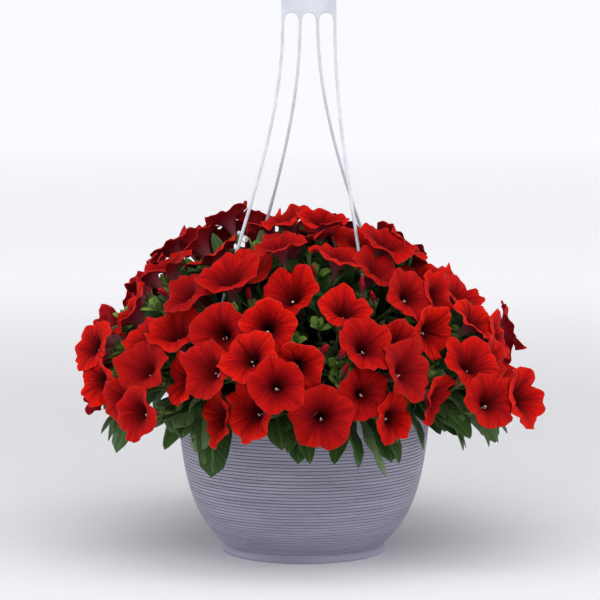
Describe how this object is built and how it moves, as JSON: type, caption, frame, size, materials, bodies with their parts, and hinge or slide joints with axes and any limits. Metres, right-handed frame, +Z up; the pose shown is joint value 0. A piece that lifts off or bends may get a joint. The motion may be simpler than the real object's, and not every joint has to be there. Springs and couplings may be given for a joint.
{
  "type": "petunia hanging basket",
  "caption": "Standing or hanging round ribbed plastic bowl with a dome of red petunias over green leaves, and a moulded hook with thin strands.",
  "frame": {"origin": "middle of the pot's flat underside, on the pot's axis", "axes": "+Z up along the pot's axis; the hanger's flat comb lies in the X-Z plane and -Y is the side it is seen from"},
  "size_m": [0.5413, 0.5811, 0.7303],
  "materials": {
    "pot_plastic": "satin",
    "hanger_plastic": "satin",
    "potting_mix": "matte",
    "petal": "matte",
    "leaf": "matte"
  },
  "bodies": {
    "root": {"blooms_01": "petal", "blooms_02": "petal", "blooms_03": "petal", "blooms_04": "petal", "blooms_05": "petal", "blooms_06": "petal", "blooms_07": "petal", "blooms_08": "petal", "blooms_09": "petal", "blooms_10": "petal", "blooms_11": "petal", "blooms_12": "petal", "blooms_13": "petal", "blooms_14": "petal", "blooms_15": "petal", "blooms_16": "petal", "blooms_17": "petal", "blooms_18": "petal", "blooms_19": "petal", "blooms_20": "petal", "blooms_21": "petal", "blooms_22": "petal", "blooms_23": "petal", "blooms_24": "petal", "blooms_25": "petal", "blooms_26": "petal", "blooms_27": "petal", "blooms_28": "petal", "blooms_29": "petal", "blooms_30": "petal", "blooms_31": "petal", "blooms_32": "petal", "blooms_33": "petal", "blooms_34": "petal", "blooms_35": "petal", "blooms_36": "petal", "blooms_37": "petal", "blooms_38": "petal", "blooms_39": "petal", "blooms_40": "petal", "blooms_41": "petal", "blooms_42": "petal", "blooms_43": "petal", "blooms_44": "petal", "blooms_45": "petal", "blooms_46": "petal", "blooms_47": "petal", "blooms_48": "petal", "blooms_49": "petal", "blooms_50": "petal", "blooms_51": "petal", "blooms_52": "petal", "blooms_53": "petal", "blooms_54": "petal", "foliage": "leaf", "hanger": "hanger_plastic", "pot": "pot_plastic", "soil": "potting_mix"}
  },
  "joints": []
}
